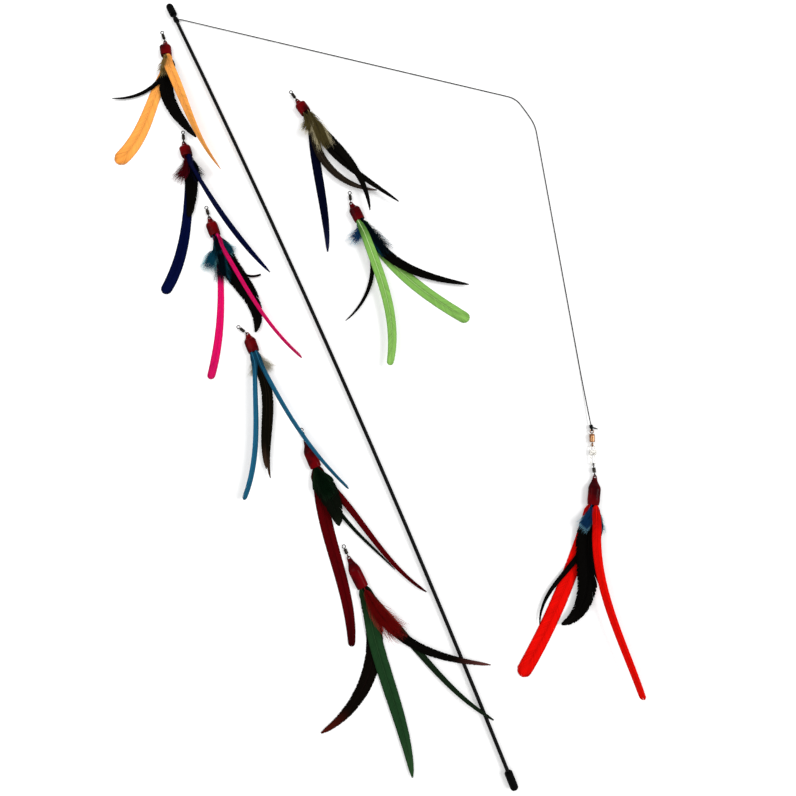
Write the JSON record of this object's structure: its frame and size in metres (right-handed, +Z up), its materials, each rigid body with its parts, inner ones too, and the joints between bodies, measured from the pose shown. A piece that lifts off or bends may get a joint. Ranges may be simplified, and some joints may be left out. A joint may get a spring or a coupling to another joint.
{
  "type": "cat teaser wand",
  "caption": "Thin whippy rod with rubber end caps and a line that ends in a snap swivel, which takes feather lures by a swivel eye; spare lures lie beside it.",
  "frame": {"origin": "centre of the rod's grip end, inside the rubber grip cap", "axes": "+Y along the rod from the grip towards the tip, +Z up from the surface that the set lies on, +X to the right of the rod"},
  "size_m": [0.4193, 0.8432, 0.0191],
  "materials": {
    "rod_black": "smooth black fibreglass",
    "cap_rubber": "moulded black rubber",
    "line_grey": "dark braided nylon line",
    "swivel_brass": "bright brass",
    "snap_nickel": "bright nickel-plated wire",
    "lure_swivel_nickel": "black nickel plate",
    "sleeve_red": "glossy red heat-shrunk sleeve",
    "orange_feather": "dyed cock tail feather",
    "orange_hackle": "dyed hackles and down",
    "navy_feather": "dyed cock tail feather",
    "navy_hackle": "dyed hackles and down",
    "pink_feather": "dyed cock tail feather",
    "pink_hackle": "dyed hackles and down",
    "blue_feather": "dyed cock tail feather",
    "blue_hackle": "dyed hackles and down",
    "maroon_feather": "dyed cock tail feather",
    "maroon_hackle": "dyed hackles and down",
    "forest_feather": "dyed cock tail feather",
    "forest_hackle": "dyed hackles and down",
    "olive_feather": "dyed cock tail feather",
    "olive_hackle": "dyed hackles and down",
    "green_feather": "dyed cock tail feather",
    "green_hackle": "dyed hackles and down",
    "red_feather": "dyed cock tail feather",
    "red_hackle": "dyed hackles and down"
  },
  "bodies": {
    "wand": {"rod": "rod_black", "tip_cap": "cap_rubber", "grip_cap": "cap_rubber", "tip_whipping": "line_grey", "line": "line_grey", "line_knot": "line_grey", "swivel_upper_eye": "swivel_brass"},
    "swivel_barrel": {"swivel_barrel": "swivel_brass"},
    "swivel_lower_eye": {"swivel_lower_eye": "swivel_brass"},
    "snap": {"snap_wire": "snap_nickel", "snap_keeper": "snap_nickel"},
    "snap_gate": {"snap_gate": "snap_nickel"},
    "orange_eye": {"orange_eye": "lure_swivel_nickel"},
    "orange_swivel": {"orange_swivel": "lure_swivel_nickel"},
    "orange_lure": {"orange_sleeve": "sleeve_red", "orange_long_feathers": "orange_feather", "orange_hackles": "orange_hackle"},
    "navy_eye": {"navy_eye": "lure_swivel_nickel"},
    "navy_swivel": {"navy_swivel": "lure_swivel_nickel"},
    "navy_lure": {"navy_sleeve": "sleeve_red", "navy_long_feathers": "navy_feather", "navy_hackles": "navy_hackle"},
    "pink_eye": {"pink_eye": "lure_swivel_nickel"},
    "pink_swivel": {"pink_swivel": "lure_swivel_nickel"},
    "pink_lure": {"pink_sleeve": "sleeve_red", "pink_long_feathers": "pink_feather", "pink_hackles": "pink_hackle"},
    "blue_eye": {"blue_eye": "lure_swivel_nickel"},
    "blue_swivel": {"blue_swivel": "lure_swivel_nickel"},
    "blue_lure": {"blue_sleeve": "sleeve_red", "blue_long_feathers": "blue_feather", "blue_hackles": "blue_hackle"},
    "maroon_eye": {"maroon_eye": "lure_swivel_nickel"},
    "maroon_swivel": {"maroon_swivel": "lure_swivel_nickel"},
    "maroon_lure": {"maroon_sleeve": "sleeve_red", "maroon_long_feathers": "maroon_feather", "maroon_hackles": "maroon_hackle"},
    "forest_eye": {"forest_eye": "lure_swivel_nickel"},
    "forest_swivel": {"forest_swivel": "lure_swivel_nickel"},
    "forest_lure": {"forest_sleeve": "sleeve_red", "forest_long_feathers": "forest_feather", "forest_hackles": "forest_hackle"},
    "olive_eye": {"olive_eye": "lure_swivel_nickel"},
    "olive_swivel": {"olive_swivel": "lure_swivel_nickel"},
    "olive_lure": {"olive_sleeve": "sleeve_red", "olive_long_feathers": "olive_feather", "olive_hackles": "olive_hackle"},
    "green_eye": {"green_eye": "lure_swivel_nickel"},
    "green_swivel": {"green_swivel": "lure_swivel_nickel"},
    "green_lure": {"green_sleeve": "sleeve_red", "green_long_feathers": "green_feather", "green_hackles": "green_hackle"},
    "red_eye": {"red_eye": "lure_swivel_nickel"},
    "red_swivel": {"red_swivel": "lure_swivel_nickel"},
    "red_lure": {"red_sleeve": "sleeve_red", "red_long_feathers": "red_feather", "red_hackles": "red_hackle"}
  },
  "joints": [
    {"name": "swivel_spin", "type": "hinge", "parent": "wand", "child": "swivel_barrel", "pos_m": [0.19504, 0.26017, -0.00115], "axis": [-0.3746, -0.9272, 0], "continuous": true},
    {"name": "swivel_eye_spin", "type": "hinge", "parent": "swivel_barrel", "child": "swivel_lower_eye", "pos_m": [0.19504, 0.26017, -0.00115], "axis": [-0.3746, -0.9272, 0], "continuous": true},
    {"name": "snap_tilt", "type": "hinge", "parent": "swivel_lower_eye", "child": "snap", "pos_m": [0.1924, 0.25364, -0.00115], "axis": [-0.9272, 0.3746, 0], "range_deg": [0, 60]},
    {"name": "snap_gate_open", "type": "hinge", "parent": "snap", "child": "snap_gate", "pos_m": [0.18435, 0.23985, -0.00115], "axis": [0, 0, 1], "range_deg": [0, 25], "stiffness_Nm_per_rad": 0.004},
    {"name": "orange_lift", "type": "slide", "parent": "wand", "child": "orange_lure", "axis": [0, 0, 1], "range_m": [0, 0.1]},
    {"name": "orange_swivel_turn", "type": "hinge", "parent": "orange_lure", "child": "orange_swivel", "pos_m": [-0.04738, 0.80399, -0.00115], "axis": [0, 0, 1], "range_deg": [-54, 36]},
    {"name": "orange_eye_spin", "type": "hinge", "parent": "orange_swivel", "child": "orange_eye", "pos_m": [-0.04738, 0.80399, -0.00115], "axis": [-0.0698, -0.9976, 0], "continuous": true},
    {"name": "navy_lift", "type": "slide", "parent": "wand", "child": "navy_lure", "axis": [0, 0, 1], "range_m": [0, 0.1]},
    {"name": "navy_swivel_turn", "type": "hinge", "parent": "navy_lure", "child": "navy_swivel", "pos_m": [-0.06713, 0.69208, -0.00115], "axis": [0, 0, 1], "range_deg": [-34, 56]},
    {"name": "navy_eye_spin", "type": "hinge", "parent": "navy_swivel", "child": "navy_eye", "pos_m": [-0.06713, 0.69208, -0.00115], "axis": [-0.2756, -0.9613, 0], "continuous": true},
    {"name": "pink_lift", "type": "slide", "parent": "wand", "child": "pink_lure", "axis": [0, 0, 1], "range_m": [0, 0.1]},
    {"name": "pink_swivel_turn", "type": "hinge", "parent": "pink_lure", "child": "pink_swivel", "pos_m": [-0.07053, 0.6072, -0.00115], "axis": [0, 0, 1], "range_deg": [-41, 49]},
    {"name": "pink_eye_spin", "type": "hinge", "parent": "pink_swivel", "child": "pink_eye", "pos_m": [-0.07053, 0.6072, -0.00115], "axis": [-0.0872, -0.9962, 0], "continuous": true},
    {"name": "blue_lift", "type": "slide", "parent": "maroon_lure", "child": "blue_lure", "axis": [0, 0, 1], "range_m": [0, 0.1]},
    {"name": "blue_swivel_turn", "type": "hinge", "parent": "blue_lure", "child": "blue_swivel", "pos_m": [-0.0768, 0.48142, -0.00115], "axis": [0, 0, 1], "range_deg": [-58, 15]},
    {"name": "blue_eye_spin", "type": "hinge", "parent": "blue_swivel", "child": "blue_eye", "pos_m": [-0.0768, 0.48142, -0.00115], "axis": [0.5, -0.866, 0], "continuous": true},
    {"name": "maroon_lift", "type": "slide", "parent": "wand", "child": "maroon_lure", "axis": [0, 0, 1], "range_m": [0, 0.1]},
    {"name": "maroon_swivel_turn", "type": "hinge", "parent": "maroon_lure", "child": "maroon_swivel", "pos_m": [-0.06192, 0.3619, -0.00115], "axis": [0, 0, 1], "range_deg": [-42, 48]},
    {"name": "maroon_eye_spin", "type": "hinge", "parent": "maroon_swivel", "child": "maroon_eye", "pos_m": [-0.06192, 0.3619, -0.00115], "axis": [-0.0349, -0.9994, 0], "continuous": true},
    {"name": "forest_lift", "type": "slide", "parent": "wand", "child": "forest_lure", "axis": [0, 0, 1], "range_m": [0, 0.1]},
    {"name": "forest_swivel_turn", "type": "hinge", "parent": "forest_lure", "child": "forest_swivel", "pos_m": [-0.06389, 0.24397, -0.00115], "axis": [0, 0, 1], "range_deg": [-42, 30]},
    {"name": "forest_eye_spin", "type": "hinge", "parent": "forest_swivel", "child": "forest_eye", "pos_m": [-0.06389, 0.24397, -0.00115], "axis": [0.0349, -0.9994, 0], "continuous": true},
    {"name": "olive_lift", "type": "slide", "parent": "wand", "child": "olive_lure", "axis": [0, 0, 1], "range_m": [0, 0.1]},
    {"name": "olive_swivel_turn", "type": "hinge", "parent": "olive_lure", "child": "olive_swivel", "pos_m": [0.05663, 0.69151, -0.00115], "axis": [0, 0, 1], "range_deg": [-46, 44]},
    {"name": "olive_eye_spin", "type": "hinge", "parent": "olive_swivel", "child": "olive_eye", "pos_m": [0.05663, 0.69151, -0.00115], "axis": [0.225, -0.9744, 0], "continuous": true},
    {"name": "green_lift", "type": "slide", "parent": "wand", "child": "green_lure", "axis": [0, 0, 1], "range_m": [0, 0.1]},
    {"name": "green_swivel_turn", "type": "hinge", "parent": "green_lure", "child": "green_swivel", "pos_m": [0.06706, 0.56744, -0.00115], "axis": [0, 0, 1], "range_deg": [-25, 65]},
    {"name": "green_eye_spin", "type": "hinge", "parent": "green_swivel", "child": "green_eye", "pos_m": [0.06706, 0.56744, -0.00115], "axis": [-0.2588, -0.9659, 0], "continuous": true},
    {"name": "lure_tilt", "type": "hinge", "parent": "snap", "child": "red_eye", "pos_m": [0.18581, 0.23679, -0.00115], "axis": [-0.9563, 0.2924, 0], "range_deg": [0, 75]},
    {"name": "red_swivel_spin", "type": "hinge", "parent": "red_eye", "child": "red_swivel", "pos_m": [0.18229, 0.22526, -0.00115], "axis": [-0.2924, -0.9563, 0], "continuous": true},
    {"name": "red_turn", "type": "hinge", "parent": "red_swivel", "child": "red_lure", "pos_m": [0.18229, 0.22526, -0.00115], "axis": [0, 0, 1], "range_deg": [-10, 45]}
  ]
}
